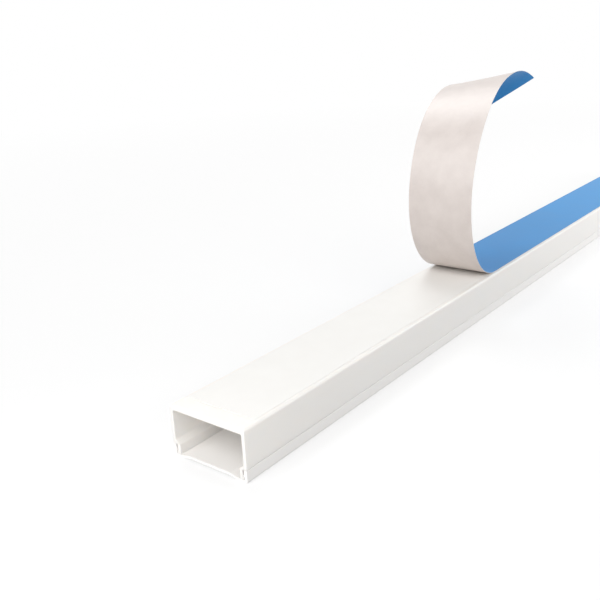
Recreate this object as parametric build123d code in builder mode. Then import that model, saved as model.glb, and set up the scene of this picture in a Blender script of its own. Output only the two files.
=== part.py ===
import os

from math import degrees, isclose

from build123d import *

os.makedirs("parts", exist_ok=True)

# Millimetres. The raceway lies on its lid with the adhesive back up. X runs along it, away from
# the peeled end, and Z is up from the middle of the lid's outer face.
raceway_length = 400.0
raceway_width = 24.0
raceway_height = 14.0
corner_radius = 0.7

# Base channel: a flat back, two side walls and a lip inside each open end.
wall_thickness = 0.9
back_thickness = 1.4
lip_thickness = 0.95
lip_slope_height = 1.1
lip_rounding = 0.6
inner_corner_radius = 0.5

# Lid: a plate with a skirt along each side, flush with the walls of the base channel. Its middle is
# set in a little, so that the raceway stands on a flat foot under each skirt.
lid_thickness = 0.75
lid_recess = 0.58
recess_ramp = 3.2
skirt_height = 3.4
skirt_thickness = 0.9
seam_gap = 0.06
seam_chamfer = 0.1

# Snap joint: each lip stands on a foot of the lid, with the bead outside it under the skirt's hook.
seat_margin = 0.3
snap_gap = 0.45
snap_depth = 0.3
snap_play = 0.1
bead_height = 0.8
hook_height = 0.6

# Adhesive tape and its release liner.
tape_width = 22.0
tape_thickness = 0.12
liner_thickness = 0.1
end_setback = 5.0

# The liner is peeled back from the near end as far as the peel line, and the peeled length curls.
# Its bend radius and its twist ease from mark to mark along that length. The twist at a mark is given
# by the angle in degrees that it would add up to if it went on over the whole length.
peel_distance = 134.0
curl_marks = (0.0, 0.2, 0.6, 1.0)
curl_radii = (16.0, 27.5, 56.5, 41.0)
curl_twist_angles = (0.0, 39.0, -12.0, -146.0)
curl_section_count = 30
march_step_count = 6

half_length = raceway_length / 2
half_width = raceway_width / 2
foot_level = -lid_recess
back_face = foot_level + raceway_height
back_inner = back_face - back_thickness
tape_face = back_face + tape_thickness
wall_inner = half_width - wall_thickness
skirt_inner = half_width - skirt_thickness
lip_outer = skirt_inner - snap_gap
lip_inner = lip_outer - lip_thickness
foot_edge = lip_inner - seat_margin
recess_edge = foot_edge - recess_ramp
skirt_top = foot_level + skirt_height
shoulder = skirt_top + seam_gap
lip_root = shoulder + lip_slope_height
lip_end = foot_level + lid_thickness
bead_top = lip_end + bead_height
hook_bottom = bead_top + snap_play
near_end_plane = Plane.YZ.offset(-half_length)


def at_corner(edge, corners):
    """Whether an edge along the raceway passes through one of the section's corners, on either side."""
    middle = edge.center()
    return any(isclose(abs(middle.Y), y) and isclose(middle.Z, z) for y, z in corners)


def corner_edges(part, *corners):
    """The edges along the raceway at these corners of its section and at their mirror images."""
    return part.edges().filter_by(Axis.X).filter_by(lambda edge: at_corner(edge, corners))


with BuildPart() as base_channel:
    with BuildSketch(near_end_plane):
        with BuildLine():
            Polyline(
                (0, back_face),
                (half_width, back_face),
                (half_width, shoulder + seam_chamfer),
                (half_width - seam_chamfer, shoulder),
                (lip_outer, shoulder),
                (lip_outer, bead_top),
                (lip_outer + snap_depth, bead_top - snap_depth / 3),
                (lip_outer + snap_depth, lip_end + snap_depth),
                (lip_outer, lip_end),
                (lip_inner, lip_end),
                (lip_inner, shoulder),
                (wall_inner, lip_root),
                (wall_inner, back_inner),
                (0, back_inner),
            )
            mirror(about=Plane.YZ)
        make_face()
    extrude(amount=raceway_length)
    fillet(corner_edges(base_channel, (half_width, back_face)), radius=corner_radius)
    inside_corners = corner_edges(base_channel, (wall_inner, back_inner), (wall_inner, lip_root))
    fillet(inside_corners, radius=inner_corner_radius)
    fillet(corner_edges(base_channel, (lip_inner, shoulder)), radius=lip_rounding)
base_channel.part.label = "base_channel"
export_step(base_channel.part, "parts/base_channel.step")

with BuildPart() as lid:
    with BuildSketch(near_end_plane):
        with BuildLine():
            Line((0, 0), (recess_edge, 0))
            Spline((recess_edge, 0), (foot_edge, foot_level), tangents=((1, 0), (1, 0)))
            Polyline(
                (foot_edge, foot_level),
                (half_width, foot_level),
                (half_width, skirt_top - seam_chamfer),
                (half_width - seam_chamfer, skirt_top),
                (skirt_inner, skirt_top),
                (skirt_inner, hook_bottom + hook_height),
                (skirt_inner - snap_depth, hook_bottom + hook_height / 2),
                (skirt_inner - snap_depth, hook_bottom + snap_depth / 3),
                (skirt_inner, hook_bottom),
                (skirt_inner, lip_end),
                (foot_edge, lip_end),
            )
            Spline(
                (foot_edge, lip_end),
                (recess_edge, lid_thickness),
                tangents=((-1, 0), (-1, 0)),
            )
            Line((recess_edge, lid_thickness), (0, lid_thickness))
            mirror(about=Plane.YZ)
        make_face()
    extrude(amount=raceway_length)
    lowest_edges = lid.edges().filter_by(Axis.X).group_by(Axis.Z)[0].sort_by(Axis.Y)
    fillet((lowest_edges[0], lowest_edges[-1]), radius=corner_radius)
lid.part.label = "lid"
export_step(lid.part, "parts/lid.step")

with BuildPart() as adhesive_tape:
    with Locations((0, 0, back_face)):
        Box(
            raceway_length - 2 * end_setback,
            tape_width,
            tape_thickness,
            align=(Align.CENTER, Align.CENTER, Align.MIN),
        )
adhesive_tape.part.label = "adhesive_tape"
export_step(adhesive_tape.part, "parts/adhesive_tape.step")


def eased(share, values):
    """The value at a share of the peeled length, straight between the marks on either side."""
    for index in range(len(curl_marks) - 1):
        low, high = curl_marks[index], curl_marks[index + 1]
        if share <= high:
            part_way = (share - low) / (high - low)
            return values[index] + (values[index + 1] - values[index]) * part_way
    return values[-1]


def curl_planes(start, length):
    """Planes across the peeled strip, from the peel line to its free end."""
    bends = [degrees(1 / radius) for radius in curl_radii]
    twists = [angle / length for angle in curl_twist_angles]
    forward = Vector(-1, 0, 0)
    across = Vector(0, 1, 0)
    point = Vector(start)
    planes = []
    steps = curl_section_count * march_step_count
    stride = length / steps
    for step in range(steps):
        share = (step + 0.5) / steps
        turn_rate = across * eased(share, bends) + forward * eased(share, twists)
        turn_axis = Axis((0, 0, 0), turn_rate)
        turn = turn_rate.length * stride
        point = point + forward.rotate(turn_axis, turn / 2) * stride
        forward = forward.rotate(turn_axis, turn)
        across = across.rotate(turn_axis, turn)
        if (step + 1) % march_step_count == 0:
            planes.append(Plane(origin=point, x_dir=across, z_dir=forward))
    return planes


peel_x = peel_distance - half_length
liner_middle = tape_face + liner_thickness / 2
peeled_length = peel_distance - end_setback
laid_end = half_length - end_setback
peel_plane = Plane(origin=(peel_x, 0, liner_middle), x_dir=(0, 1, 0), z_dir=(-1, 0, 0))

with BuildPart() as release_liner:
    with Locations(((peel_x + laid_end) / 2, 0, liner_middle)):
        Box(laid_end - peel_x, tape_width, liner_thickness)
    for plane in (peel_plane, *curl_planes(peel_plane.origin, peeled_length)):
        with BuildSketch(plane):
            Rectangle(tape_width, liner_thickness)
    loft()
release_liner.part.label = "release_liner"
export_step(release_liner.part, "parts/release_liner.step")
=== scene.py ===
from math import exp, pi, radians, sin

import bpy
from mathutils import Matrix, Quaternion, Vector


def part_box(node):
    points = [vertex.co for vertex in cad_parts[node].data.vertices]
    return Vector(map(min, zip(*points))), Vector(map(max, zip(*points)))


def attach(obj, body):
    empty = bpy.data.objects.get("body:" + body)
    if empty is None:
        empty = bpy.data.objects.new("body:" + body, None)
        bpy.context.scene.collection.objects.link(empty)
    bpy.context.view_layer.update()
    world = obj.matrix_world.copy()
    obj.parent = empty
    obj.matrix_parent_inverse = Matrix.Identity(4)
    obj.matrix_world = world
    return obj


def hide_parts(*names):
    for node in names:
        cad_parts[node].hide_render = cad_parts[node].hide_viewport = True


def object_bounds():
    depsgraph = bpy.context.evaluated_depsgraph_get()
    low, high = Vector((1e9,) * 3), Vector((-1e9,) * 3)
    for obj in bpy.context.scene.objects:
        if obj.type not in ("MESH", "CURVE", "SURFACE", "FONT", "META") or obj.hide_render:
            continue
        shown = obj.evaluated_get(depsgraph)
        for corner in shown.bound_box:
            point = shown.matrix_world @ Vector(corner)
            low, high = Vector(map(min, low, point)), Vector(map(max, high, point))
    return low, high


# Sizes are in metres and angles in radians. X runs along the raceway, away from the peeled end.
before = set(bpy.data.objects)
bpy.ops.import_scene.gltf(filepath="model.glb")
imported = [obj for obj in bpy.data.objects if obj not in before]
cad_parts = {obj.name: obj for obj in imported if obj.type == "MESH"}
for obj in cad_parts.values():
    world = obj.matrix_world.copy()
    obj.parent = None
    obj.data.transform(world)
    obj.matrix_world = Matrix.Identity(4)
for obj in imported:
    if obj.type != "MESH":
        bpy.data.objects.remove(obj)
cad_low, cad_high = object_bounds()


# Base channel: the open half of the raceway, with a flat back, two walls and a lip along each wall.
# White rigid PVC, extruded through a die and sawn to length, so fine lines run along every face and
# the two ends show the saw.
base_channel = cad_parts["base_channel"]
pvc_ior = 1.53
pvc_roughness = 0.30
line_roughness = 0.16
sawn_roughness = 0.25
glow_depth = 0.0015
glow_reach = (1.0, 0.9, 0.8)
pvc_relief_depth = 0.00003
pvc_relief_strength = 0.25
score_height = 4.0
end_facing = 0.9
score_wander_rate = 60.0


def set_inputs(node, **values):
    """Sets a node's inputs by name, with an underscore for each space. Returns the node."""
    for name, value in values.items():
        node.inputs[name.replace("_", " ")].default_value = value
    return node


def add_node(tree, kind, **values):
    """A new node of that kind in the tree, with its named inputs set."""
    return set_inputs(tree.nodes.new(kind), **values)


def new_group(name, vectors, values, outputs):
    """An empty shader node group with vector and number inputs and number outputs, and its end nodes."""
    group = bpy.data.node_groups.new(name, "ShaderNodeTree")
    for socket in vectors:
        group.interface.new_socket(socket, in_out="INPUT", socket_type="NodeSocketVector")
    for socket, value in values.items():
        made = group.interface.new_socket(socket, in_out="INPUT", socket_type="NodeSocketFloat")
        made.default_value = value
    for socket in outputs:
        group.interface.new_socket(socket, in_out="OUTPUT", socket_type="NodeSocketFloat")
    return group, group.nodes.new("NodeGroupInput"), group.nodes.new("NodeGroupOutput")


def place_group(tree, group, **values):
    """The group as a node in a material, with its own values."""
    node = tree.nodes.new("ShaderNodeGroup")
    node.node_tree = group
    return set_inputs(node, **values)


def math_node(tree, operation, *values):
    """A maths node whose inputs are sockets or plain numbers. Returns its output."""
    node = tree.nodes.new("ShaderNodeMath")
    node.operation = operation
    for slot, value in enumerate(values):
        if isinstance(value, (int, float)):
            node.inputs[slot].default_value = value
        else:
            tree.links.new(value, node.inputs[slot])
    return node.outputs["Value"]


def scaled_place(tree, place, rates):
    """A place with each of its axes multiplied by a rate of its own. Returns its output."""
    node = tree.nodes.new("ShaderNodeVectorMath")
    node.operation = "MULTIPLY"
    tree.links.new(place, node.inputs[0])
    tree.links.new(rates, node.inputs[1])
    return node.outputs["Vector"]


def mix_colours(tree, share, first, second):
    """A colour between two colours, by a share that varies over the surface. Returns its output."""
    node = tree.nodes.new("ShaderNodeMix")
    node.data_type = "RGBA"
    tree.links.new(share, node.inputs["Factor"])
    for slot, colour in (("A", first), ("B", second)):
        socket = next(s for s in node.inputs if s.name == slot and s.type == "RGBA")
        socket.default_value = (*colour, 1.0)
    return next(s for s in node.outputs if s.type == "RGBA")


# Lines that the die leaves along an extrusion: noise drawn out lengthwise, with wider soft bands.
die_lines, lines_in, lines_out = new_group(
    "die_lines",
    vectors=("Place",),
    values={"Line Width": 0.0004, "Line Length": 0.12},
    outputs=("Lines", "Bands"),
)
across_rate = math_node(die_lines, "DIVIDE", 1.0, lines_in.outputs["Line Width"])
along_rate = math_node(die_lines, "DIVIDE", 1.0, lines_in.outputs["Line Length"])
line_rates = die_lines.nodes.new("ShaderNodeCombineXYZ")
for axis, rate in (("X", along_rate), ("Y", across_rate), ("Z", across_rate)):
    die_lines.links.new(rate, line_rates.inputs[axis])
lines_place = scaled_place(die_lines, lines_in.outputs["Place"], line_rates.outputs["Vector"])
for output, scale, detail in (("Lines", 1.0, 3.0), ("Bands", 0.12, 1.0)):
    streaks = add_node(die_lines, "ShaderNodeTexNoise", Scale=scale, Detail=detail, Roughness=0.6)
    die_lines.links.new(lines_place, streaks.inputs["Vector"])
    die_lines.links.new(streaks.outputs["Fac"], lines_out.inputs[output])

# The soft pebbling of cooled plastic, with a slow cloud of tone behind it.
cooled_skin, skin_in, skin_out = new_group(
    "cooled_skin",
    vectors=("Place",),
    values={"Pebble Rate": 1400.0, "Cloud Rate": 45.0},
    outputs=("Pebbles", "Clouds"),
)
for output, rate, detail in (("Pebbles", "Pebble Rate", 2.0), ("Clouds", "Cloud Rate", 3.0)):
    skin = add_node(cooled_skin, "ShaderNodeTexNoise", Detail=detail, Roughness=0.55)
    cooled_skin.links.new(skin_in.outputs["Place"], skin.inputs["Vector"])
    cooled_skin.links.new(skin_in.outputs[rate], skin.inputs["Scale"])
    cooled_skin.links.new(skin.outputs["Fac"], skin_out.inputs[output])

# A sawn end: where the face looks along the raceway, coarse score lines cross it.
sawn_end, sawn_in, sawn_out = new_group(
    "sawn_end",
    vectors=("Place", "Facing"),
    values={"Score Width": 0.00025},
    outputs=("Sawn", "Scores"),
)
facing_parts = sawn_end.nodes.new("ShaderNodeSeparateXYZ")
sawn_end.links.new(sawn_in.outputs["Facing"], facing_parts.inputs["Vector"])
endwise = math_node(sawn_end, "ABSOLUTE", facing_parts.outputs["X"])
faces_endwise = math_node(sawn_end, "GREATER_THAN", endwise, end_facing)
sawn_end.links.new(faces_endwise, sawn_out.inputs["Sawn"])
score_rate = math_node(sawn_end, "DIVIDE", 1.0, sawn_in.outputs["Score Width"])
score_rates = add_node(sawn_end, "ShaderNodeCombineXYZ", Y=score_wander_rate)
sawn_end.links.new(score_rate, score_rates.inputs["Z"])
score_place = scaled_place(sawn_end, sawn_in.outputs["Place"], score_rates.outputs["Vector"])
scores = add_node(sawn_end, "ShaderNodeTexNoise", Scale=1.0, Detail=2.0)
sawn_end.links.new(score_place, scores.inputs["Vector"])
sawn_end.links.new(scores.outputs["Fac"], sawn_out.inputs["Scores"])


def extruded_pvc(name, light_tone, deep_tone, line_width, glow):
    """White PVC as it leaves the die: streaked lengthwise, satin, and rougher where it was sawn."""
    material = bpy.data.materials.new(name)
    material.use_nodes = True
    tree = material.node_tree
    shader = tree.nodes["Principled BSDF"]
    set_inputs(shader, IOR=pvc_ior, Subsurface_Weight=glow)
    set_inputs(shader, Subsurface_Radius=glow_reach, Subsurface_Scale=glow_depth)
    place = tree.nodes.new("ShaderNodeTexCoord")
    lines = place_group(tree, die_lines, Line_Width=line_width)
    skin = place_group(tree, cooled_skin)
    sawn = place_group(tree, sawn_end)
    for group in (lines, skin, sawn):
        tree.links.new(place.outputs["Object"], group.inputs["Place"])
    tree.links.new(place.outputs["Normal"], sawn.inputs["Facing"])
    is_sawn = sawn.outputs["Sawn"]

    tone_sum = math_node(tree, "ADD", lines.outputs["Bands"], skin.outputs["Clouds"])
    tone = math_node(tree, "MULTIPLY", tone_sum, 0.5)
    tree.links.new(mix_colours(tree, tone, deep_tone, light_tone), shader.inputs["Base Color"])

    streaked = math_node(tree, "MULTIPLY_ADD", lines.outputs["Lines"], line_roughness, pvc_roughness)
    roughened = math_node(tree, "MULTIPLY", is_sawn, sawn_roughness)
    tree.links.new(math_node(tree, "ADD", streaked, roughened), shader.inputs["Roughness"])

    relief = math_node(tree, "ADD", lines.outputs["Lines"], skin.outputs["Pebbles"])
    scored = math_node(tree, "MULTIPLY", is_sawn, sawn.outputs["Scores"])
    scored = math_node(tree, "MULTIPLY", scored, score_height)
    bump = add_node(tree, "ShaderNodeBump", Strength=pvc_relief_strength, Distance=pvc_relief_depth)
    tree.links.new(math_node(tree, "ADD", relief, scored), bump.inputs["Height"])
    tree.links.new(bump.outputs["Normal"], shader.inputs["Normal"])
    return material


channel_pvc = extruded_pvc(
    "channel_pvc",
    light_tone=(0.942, 0.908, 0.87),
    deep_tone=(0.92, 0.882, 0.841),
    line_width=0.0004,
    glow=0.5,
)
base_channel.data.materials.clear()
base_channel.data.materials.append(channel_pvc)


# Lid: the cover that snaps over the channel's lips. It is extruded from the same white PVC through a
# second die, so its lines are a little wider, and it is sawn off flush with the channel.
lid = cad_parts["lid"]
lid_pvc = extruded_pvc(
    "lid_pvc",
    light_tone=(0.95, 0.935, 0.915),
    deep_tone=(0.93, 0.912, 0.89),
    line_width=0.0005,
    glow=0.0,
)
lid.data.materials.clear()
lid.data.materials.append(lid_pvc)


# Adhesive tape: a thin white tissue coated with adhesive on both sides, rolled on to the back of the
# channel. Its open face is slightly uneven and shiny, and its long edges are slit, not quite true.
tape_low, tape_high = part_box("adhesive_tape")
tape_length = tape_high.x - tape_low.x
tape_width = tape_high.y - tape_low.y
tape_thickness = tape_high.z - tape_low.z
tape_middle = (tape_low.z + tape_high.z) / 2
tape_pitch = 0.0015
tape_columns = 20
dip_depth = 0.00003
rim_drop = 0.00005
rim_draw = 0.0002
rim_sharpness = 24
slit_wander = 0.00012
quick_slit_share = 0.6
fibre_warp_rate = 220.0
fibre_warp_reach = 0.004
fibre_width = 0.12
fibre_height = 0.5
paper_relief_strength = 0.3

# Waves in the open face and in the slit edges: radians per metre, and slant over the half width.
dip_waves = ((310, 2.1), (173, -4.3))
slit_waves = ((95, 0.0), (251, 1.0))

# The kinds of face on a strip, which are also the numbers of its materials.
upper_face = 0
lower_face = 1
cut_edge = 2


def strip_mesh(name, stations, width, thickness, columns, lift, materials):
    """A thin closed strip over stations of (distance along, centre, across, up). At a distance and a
    share of the half width, lift gives the rise of the upper and lower face and the shift sideways."""
    verts = []
    faces = []
    shares = [-1 + 2 * column / columns for column in range(columns + 1)]
    for along, centre, across, up in stations:
        for share in shares:
            high, low, side = lift(along, share)
            middle = centre + across * (share * width / 2 + side)
            verts.append(middle + up * (thickness / 2 + high))
            verts.append(middle + up * (low - thickness / 2))
    wide = 2 * (columns + 1)
    last = (len(stations) - 1) * wide
    for row in range(len(stations) - 1):
        for column in range(columns):
            near = row * wide + 2 * column
            far = near + wide
            faces.append((upper_face, (near, near + 2, far + 2, far)))
            faces.append((lower_face, (near + 1, far + 1, far + 3, near + 3)))
        left = row * wide
        right = left + wide - 2
        faces.append((cut_edge, (left, left + wide, left + wide + 1, left + 1)))
        faces.append((cut_edge, (right, right + 1, right + wide + 1, right + wide)))
    for column in range(columns):
        start = 2 * column
        end = last + start
        faces.append((cut_edge, (start, start + 1, start + 3, start + 2)))
        faces.append((cut_edge, (end, end + 2, end + 3, end + 1)))
    mesh = bpy.data.meshes.new(name)
    mesh.from_pydata(verts, [], [corners for kind, corners in faces])
    cut_lines = set()
    for polygon, (kind, corners) in zip(mesh.polygons, faces):
        polygon.material_index = kind
        polygon.use_smooth = kind != cut_edge
        if kind == cut_edge:
            cut_lines.update(polygon.edge_keys)
    for edge in mesh.edges:
        edge.use_edge_sharp = edge.key in cut_lines
    for material in materials:
        mesh.materials.append(material)
    piece = bpy.data.objects.new(name, mesh)
    bpy.context.scene.collection.objects.link(piece)
    return piece


def tape_lift(along, share):
    """Shallow dips in the open face, a softened rim and slightly wandering slit edges."""
    short_dip, long_dip = (sin(rate * along + slant * share) for rate, slant in dip_waves)
    slow_slit, quick_slit = (sin(rate * along + slant * share) for rate, slant in slit_waves)
    dips = 0.5 + 0.25 * short_dip + 0.25 * long_dip
    rim = abs(share) ** rim_sharpness
    wander = slit_wander * rim * (slow_slit + quick_slit_share * quick_slit)
    return -dip_depth * dips - rim_drop * rim, 0.0, wander - rim_draw * rim * share


# Fibres of paper or tissue under a coating: thin wandering lines between cells, and a cloudy mottle.
paper_fibres, fibres_in, fibres_out = new_group(
    "paper_fibres",
    vectors=("Place",),
    values={"Fibre Rate": 900.0, "Mottle Rate": 160.0},
    outputs=("Fibres", "Mottle"),
)
fibre_warp = add_node(paper_fibres, "ShaderNodeTexNoise", Scale=fibre_warp_rate, Detail=2.0)
paper_fibres.links.new(fibres_in.outputs["Place"], fibre_warp.inputs["Vector"])
fibre_bend = paper_fibres.nodes.new("ShaderNodeVectorMath")
fibre_bend.operation = "MULTIPLY_ADD"
paper_fibres.links.new(fibre_warp.outputs["Color"], fibre_bend.inputs[0])
fibre_bend.inputs[1].default_value = (fibre_warp_reach, fibre_warp_reach, fibre_warp_reach)
paper_fibres.links.new(fibres_in.outputs["Place"], fibre_bend.inputs[2])
fibre_cells = paper_fibres.nodes.new("ShaderNodeTexVoronoi")
fibre_cells.feature = "DISTANCE_TO_EDGE"
paper_fibres.links.new(fibre_bend.outputs["Vector"], fibre_cells.inputs["Vector"])
paper_fibres.links.new(fibres_in.outputs["Fibre Rate"], fibre_cells.inputs["Scale"])
fibre_line = add_node(paper_fibres, "ShaderNodeMapRange", From_Max=fibre_width, To_Min=1.0, To_Max=0.0)
paper_fibres.links.new(fibre_cells.outputs["Distance"], fibre_line.inputs["Value"])
paper_fibres.links.new(fibre_line.outputs["Result"], fibres_out.inputs["Fibres"])
fibre_mottle = add_node(paper_fibres, "ShaderNodeTexNoise", Detail=4.0, Roughness=0.6)
paper_fibres.links.new(fibres_in.outputs["Place"], fibre_mottle.inputs["Vector"])
paper_fibres.links.new(fibres_in.outputs["Mottle Rate"], fibre_mottle.inputs["Scale"])
paper_fibres.links.new(fibre_mottle.outputs["Fac"], fibres_out.inputs["Mottle"])


def coated_paper(name, light_tone, deep_tone, roughness, relief, fibre_rate, mottle_rate, gloss):
    """Paper or tissue under a coating: a mottled tone, and fibres that show through as relief."""
    material = bpy.data.materials.new(name)
    material.use_nodes = True
    tree = material.node_tree
    shader = set_inputs(tree.nodes["Principled BSDF"], Specular_IOR_Level=gloss)
    place = tree.nodes.new("ShaderNodeTexCoord")
    fibres = place_group(tree, paper_fibres, Fibre_Rate=fibre_rate, Mottle_Rate=mottle_rate)
    tree.links.new(place.outputs["Object"], fibres.inputs["Place"])
    mottle = fibres.outputs["Mottle"]
    tree.links.new(mix_colours(tree, mottle, deep_tone, light_tone), shader.inputs["Base Color"])
    rough_low, rough_high = roughness
    rough = add_node(tree, "ShaderNodeMapRange", To_Min=rough_low, To_Max=rough_high)
    tree.links.new(mottle, rough.inputs["Value"])
    tree.links.new(rough.outputs["Result"], shader.inputs["Roughness"])
    fibre_relief = math_node(tree, "MULTIPLY", fibres.outputs["Fibres"], fibre_height)
    bump = add_node(tree, "ShaderNodeBump", Strength=paper_relief_strength, Distance=relief)
    tree.links.new(math_node(tree, "ADD", mottle, fibre_relief), bump.inputs["Height"])
    tree.links.new(bump.outputs["Normal"], shader.inputs["Normal"])
    return material


tape_face = coated_paper(
    "tape_face",
    light_tone=(0.915, 0.905, 0.88),
    deep_tone=(0.875, 0.86, 0.83),
    roughness=(0.26, 0.44),
    relief=0.00004,
    fibre_rate=700.0,
    mottle_rate=140.0,
    gloss=0.4,
)
tape_edge = coated_paper(
    "tape_edge",
    light_tone=(0.86, 0.85, 0.82),
    deep_tone=(0.78, 0.77, 0.74),
    roughness=(0.5, 0.7),
    relief=0.00003,
    fibre_rate=900.0,
    mottle_rate=300.0,
    gloss=0.3,
)
tape_rows = round(tape_length / tape_pitch)
tape_stations = []
for row in range(tape_rows + 1):
    along = tape_length * row / tape_rows
    centre = Vector((tape_low.x + along, 0, tape_middle))
    tape_stations.append((along, centre, Vector((0, -1, 0)), Vector((0, 0, 1))))
tape = strip_mesh(
    "tape_strip",
    tape_stations,
    tape_width,
    tape_thickness,
    tape_columns,
    tape_lift,
    (tape_face, tape_face, tape_edge),
)
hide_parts("adhesive_tape")
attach(tape, "base")


# Release liner: a strip of paper with a blue film on its outer side and a pale release coating next
# to the adhesive. It is laid on the tape from the far end. The length that is pulled up from the near
# end keeps the curl of the roll that it came from.
liner_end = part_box("release_liner")[1].x
liner_thickness = 0.0001
liner_middle = tape_high.z + liner_thickness / 2
liner_columns = 24
laid_pitch = 0.003
curl_pitch = 0.001
peel_x = -0.066
peeled_length = 0.129
laid_length = liner_end - peel_x
flutter_height = 0.0002
flutter_start = 0.02
flutter_wave = 0.043

# The bend radius and the twist ease from mark to mark along the peeled length. The twist at a mark is
# given by the angle that it would add up to over that whole length.
curl_marks = (0.0, 0.2, 0.6, 1.0)
curl_radii = (0.016, 0.0275, 0.0565, 0.041)
curl_twist_angles = (0.0, radians(39), radians(-12), radians(-146))


def eased(share, values):
    """The value at a share of the peeled length, straight between the marks on either side."""
    for low, high, first, second in zip(curl_marks, curl_marks[1:], values, values[1:]):
        if share <= high:
            return first + (second - first) * (share - low) / (high - low)
    return values[-1]


forward = Vector((-1, 0, 0))
across = Vector((0, 1, 0))
up = Vector((0, 0, 1))
laid_rows = round(laid_length / laid_pitch)
liner_stations = []
for row in range(laid_rows + 1):
    along = laid_length * row / laid_rows
    centre = Vector((liner_end - along, 0, liner_middle))
    liner_stations.append((along, centre, across, up))

curl_bends = [1 / radius for radius in curl_radii]
curl_twists = [angle / peeled_length for angle in curl_twist_angles]
curl_rows = round(peeled_length / curl_pitch)
curl_step = peeled_length / curl_rows
centre = Vector((peel_x, 0, liner_middle))
for row in range(curl_rows):
    share = (row + 0.5) / curl_rows
    turn = across * eased(share, curl_bends) + forward * eased(share, curl_twists)
    angle = turn.length * curl_step
    centre = centre + Quaternion(turn, angle / 2) @ forward * curl_step
    step_turn = Quaternion(turn, angle)
    forward = step_turn @ forward
    across = step_turn @ across
    up = step_turn @ up
    along = laid_length + (row + 1) * curl_step
    liner_stations.append((along, centre, across, up))


def liner_lift(along, share):
    """The peeled length flutters a little at its edges. The laid length lies flat."""
    peeled = max(0.0, along - laid_length)
    swing = flutter_height * (1 - exp(-peeled / flutter_start))
    flutter = swing * share * share * sin(2 * pi * peeled / flutter_wave + share)
    return flutter, flutter, 0.0


liner_film = coated_paper(
    "liner_film",
    light_tone=(0.066, 0.325, 0.69),
    deep_tone=(0.046, 0.265, 0.60),
    roughness=(0.36, 0.48),
    relief=0.00003,
    fibre_rate=500.0,
    mottle_rate=60.0,
    gloss=0.18,
)
liner_release = coated_paper(
    "liner_release",
    light_tone=(0.775, 0.705, 0.666),
    deep_tone=(0.61, 0.539, 0.504),
    roughness=(0.32, 0.49),
    relief=0.00003,
    fibre_rate=800.0,
    mottle_rate=180.0,
    gloss=1.0,
)
liner_edge = coated_paper(
    "liner_edge",
    light_tone=(0.84, 0.82, 0.79),
    deep_tone=(0.74, 0.72, 0.70),
    roughness=(0.6, 0.75),
    relief=0.00002,
    fibre_rate=1200.0,
    mottle_rate=400.0,
    gloss=0.3,
)
liner = strip_mesh(
    "liner_strip",
    liner_stations,
    tape_width,
    liner_thickness,
    liner_columns,
    liner_lift,
    (liner_film, liner_release, liner_edge),
)
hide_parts("release_liner")
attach(liner, "base")


# Floor: the plain white studio table that the raceway lies on. Camera and reflections see white card
# with a faint shadow near the raceway, which fades out further off. All other light meets a pale grey.
floor_half = 4.0
floor_drop = 0.00002
card_grey = (0.50, 0.50, 0.50)
card_pale = (0.98, 0.98, 0.98)
card_roughness = 0.8
card_gloss = 0.1
shadow_start = 0.25
shadow_end = 0.7
white_near_raceway = 0.55
floor_mesh = bpy.data.meshes.new("studio_floor")
corners = [(-1, -1), (1, -1), (1, 1), (-1, 1)]
floor_mesh.from_pydata([(x * floor_half, y * floor_half, 0) for x, y in corners], [], [(0, 1, 2, 3)])
floor = bpy.data.objects.new("studio_floor", floor_mesh)
floor.location.z = cad_low.z - floor_drop
bpy.context.scene.collection.objects.link(floor)


def seen_as_background(tree):
    """1 for the rays that show a background: the camera's own, reflections and views through glass."""
    path = tree.nodes.new("ShaderNodeLightPath")
    seen = math_node(tree, "MAXIMUM", path.outputs["Is Camera Ray"], path.outputs["Is Glossy Ray"])
    return math_node(tree, "MAXIMUM", seen, path.outputs["Is Transmission Ray"])


floor_card = bpy.data.materials.new("floor_card")
floor_card.use_nodes = True
card_tree = floor_card.node_tree
card_shader = card_tree.nodes["Principled BSDF"]
set_inputs(card_shader, Roughness=card_roughness, Specular_IOR_Level=card_gloss)
card_light = add_node(card_tree, "ShaderNodeEmission", Strength=1.0)
card_seen = seen_as_background(card_tree)
card_tone = mix_colours(card_tree, card_seen, card_grey, card_pale)
card_tree.links.new(card_tone, card_shader.inputs["Base Color"])
card_place = card_tree.nodes.new("ShaderNodeTexCoord")
card_distance = card_tree.nodes.new("ShaderNodeVectorMath")
card_distance.operation = "LENGTH"
card_tree.links.new(card_place.outputs["Object"], card_distance.inputs[0])
card_white = add_node(
    card_tree,
    "ShaderNodeMapRange",
    From_Min=shadow_start,
    From_Max=shadow_end,
    To_Min=white_near_raceway,
)
card_tree.links.new(card_distance.outputs["Value"], card_white.inputs["Value"])
card_share = math_node(card_tree, "MULTIPLY", card_seen, card_white.outputs["Result"])
card_mix = card_tree.nodes.new("ShaderNodeMixShader")
card_tree.links.new(card_share, card_mix.inputs["Fac"])
card_tree.links.new(card_shader.outputs["BSDF"], card_mix.inputs[1])
card_tree.links.new(card_light.outputs["Emission"], card_mix.inputs[2])
card_output = card_tree.nodes["Material Output"]
card_tree.links.new(card_mix.outputs["Shader"], card_output.inputs["Surface"])
floor_mesh.materials.append(floor_card)


# Light: a pale dome all round, broad soft lamps high behind, high in front and to the right of the near
# end, a soft box along the right side and a small one before the open end. A level of 1 shows a
# colour as written.
dome_level = 0.29
dome_colour = (1.0, 1.0, 1.0, 1.0)

# Each lamp: name, level, the direction that it shines from, and how wide it looks.
lamps = (
    ("back_lamp", 0.275, (0.34, 0.43, 0.84), radians(30)),
    ("front_lamp", 0.45, (-0.70, 0.05, 0.71), radians(50)),
    ("right_lamp", 0.19, (-0.45, -0.75, 0.48), radians(40)),
)

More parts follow.
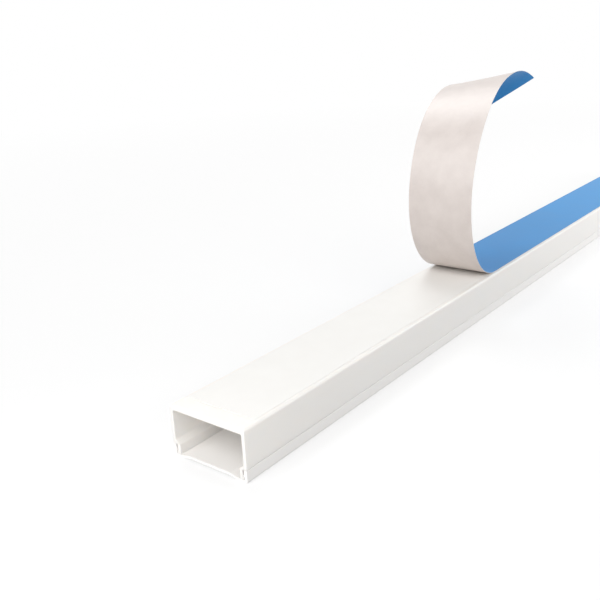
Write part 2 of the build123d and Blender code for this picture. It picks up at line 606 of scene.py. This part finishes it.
# Each soft box: name, level, place, the point that it faces, and its width.
soft_boxes = (
    ("side_box", 0.54, (0.24, -0.36, 0.10), (0.02, -0.012, 0.007), 0.30),
    ("end_box", 0.40, (-0.284, -0.018, 0.042), (-0.20, 0.0, 0.007), 0.05),
)
world = bpy.data.worlds.new("studio")
bpy.context.scene.world = world
world.use_nodes = True
dome_tree = world.node_tree
dome = set_inputs(dome_tree.nodes["Background"], Color=dome_colour)
dome_seen = seen_as_background(dome_tree)
brightness = math_node(dome_tree, "MULTIPLY_ADD", dome_seen, 1 - dome_level, dome_level)
dome_tree.links.new(brightness, dome.inputs["Strength"])


def hang_lamp(lamp_data, place, shines_from):
    """A lamp at that place, turned so that its light comes from that direction."""
    lamp = bpy.data.objects.new(lamp_data.name, lamp_data)
    lamp.location = place
    lamp.rotation_mode = "QUATERNION"
    lamp.rotation_quaternion = Vector(shines_from).to_track_quat("Z", "Y")
    lamp.visible_camera = False
    bpy.context.scene.collection.objects.link(lamp)


for lamp_name, level, shines_from, spread in lamps:
    lamp_data = bpy.data.lights.new(lamp_name, "SUN")
    lamp_data.energy = level * pi
    lamp_data.angle = spread
    hang_lamp(lamp_data, (0, 0, 0), shines_from)
for box_name, level, place, aim, box_width in soft_boxes:
    box_data = bpy.data.lights.new(box_name, "AREA")
    reach = Vector(place) - Vector(aim)
    box_data.energy = level * pi ** 2 * reach.length_squared
    box_data.size = box_width
    hang_lamp(box_data, place, reach)
bpy.context.scene.view_settings.view_transform = "Standard"


# Camera: in front of the near end, to its right and a little above it, looking along the raceway
# with a slight roll. The focal length is given in pixels of the square image.
camera_place = Vector((-0.31228, -0.11969, 0.09838))
camera_heading = radians(-51.378)
camera_tilt = radians(90 - 19.451)
camera_roll = radians(-2.811)
camera_nearest = 0.005
sensor_width = 36.0
focal_pixels = 779.6
image_width = 600
camera_data = bpy.data.cameras.new("camera")
camera_data.sensor_width = sensor_width
camera_data.lens = sensor_width * focal_pixels / image_width
camera_data.clip_start = camera_nearest
camera = bpy.data.objects.new("camera", camera_data)
heading = Matrix.Rotation(camera_heading, 4, "Z")
tilt = Matrix.Rotation(camera_tilt, 4, "X")
roll = Matrix.Rotation(camera_roll, 4, "Z")
camera.matrix_world = Matrix.Translation(camera_place) @ heading @ tilt @ roll
bpy.context.scene.collection.objects.link(camera)
bpy.context.scene.camera = camera
